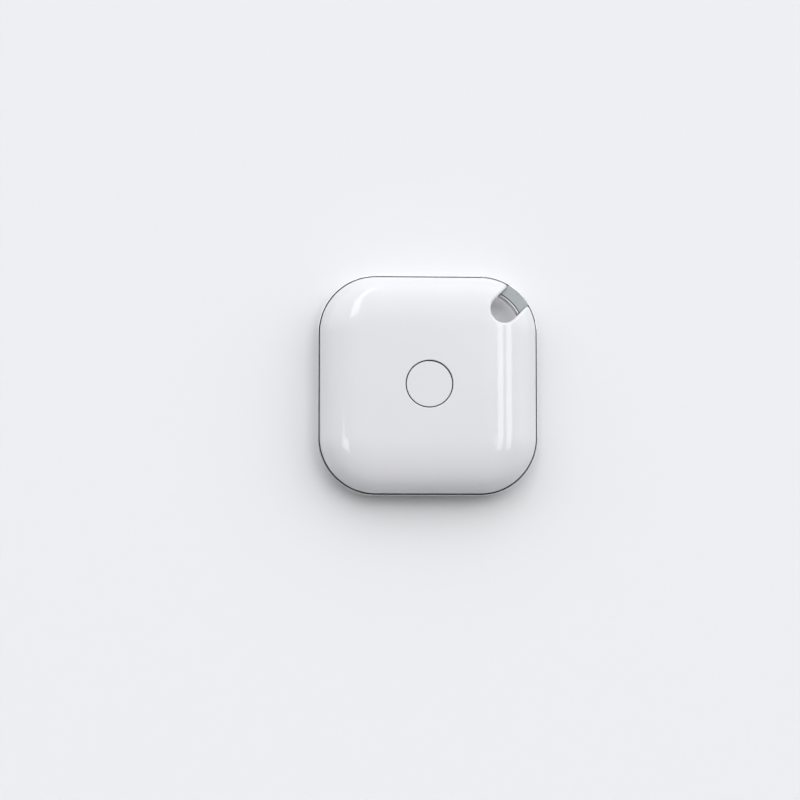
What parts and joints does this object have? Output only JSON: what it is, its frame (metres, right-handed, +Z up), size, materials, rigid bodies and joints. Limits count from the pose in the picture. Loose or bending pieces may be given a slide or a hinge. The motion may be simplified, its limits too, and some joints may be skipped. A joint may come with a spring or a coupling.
{
  "type": "bluetooth tracker tag",
  "caption": "Rounded square key-finder tag in glossy white plastic, with a round push button in its face, a metal trim frame round its edge and a key hole through one corner.",
  "frame": {"origin": "centre of the back, in the plane the tag rests on", "axes": "+Z up out of the face with the button, the key hole at the +X +Y corner, X and Y along the straight sides"},
  "size_m": [0.037, 0.037, 0.008],
  "materials": {
    "shell": "gloss",
    "trim": "satin",
    "board": "satin",
    "screw_steel": "satin",
    "switch_plastic": "matte",
    "spring_steel": "polished",
    "contact_metal": "satin",
    "chip_plastic": "matte",
    "crystal_can": "satin",
    "antenna_ceramic": "satin",
    "capacitor_ceramic": "satin",
    "resistor_ceramic": "satin",
    "inductor_ceramic": "satin",
    "buzzer_plastic": "matte",
    "yoke_steel": "satin",
    "magnet": "satin",
    "coil_copper": "satin",
    "holder_plastic": "matte",
    "cell_steel": "satin",
    "cell_nylon": "satin",
    "cathode_powder": "matte",
    "anode_metal": "satin",
    "foam": "matte"
  },
  "bodies": {
    "back_half": {"back_cover": "shell", "cell_pad": "foam"},
    "front_half": {"top_cover": "shell", "trim_frame": "trim", "circuit_board": "board", "board_screws": "screw_steel", "switch_base": "switch_plastic", "switch_plate": "spring_steel", "switch_dome": "spring_steel", "switch_terminals": "contact_metal", "bluetooth_chip": "chip_plastic", "main_crystal": "crystal_can", "sleep_crystal": "crystal_can", "chip_antenna": "antenna_ceramic", "capacitors": "capacitor_ceramic", "resistors": "resistor_ceramic", "inductors": "inductor_ceramic", "buzzer_driver": "chip_plastic", "flyback_diode": "chip_plastic", "buzzer_case": "buzzer_plastic", "buzzer_yoke": "yoke_steel", "buzzer_magnet": "magnet", "buzzer_coil": "coil_copper", "buzzer_diaphragm": "spring_steel", "cell_holder": "holder_plastic", "positive_contact": "contact_metal", "negative_contact": "contact_metal"},
    "coin_cell": {"cell_can": "cell_steel", "cell_cap": "cell_steel", "cell_seal": "cell_nylon", "cell_cathode": "cathode_powder", "cell_anode": "anode_metal"},
    "button": {"button_cap": "shell"}
  },
  "joints": [
    {"name": "case_release", "type": "slide", "parent": "back_half", "child": "front_half", "axis": [0, 0, 1], "range_m": [0, 0.024]},
    {"name": "cell_removal", "type": "slide", "parent": "back_half", "child": "coin_cell", "axis": [0, 0, 1], "range_m": [0, 0.012]},
    {"name": "button_press", "type": "slide", "parent": "front_half", "child": "button", "axis": [0, 0, -1], "range_m": [0, 0.0002], "stiffness_N_per_m": 4000, "deforming": ["switch_dome"]}
  ],
  "couplings": [
    {"joint": "cell_removal", "follows": "case_release", "ratio": 0.5}
  ]
}
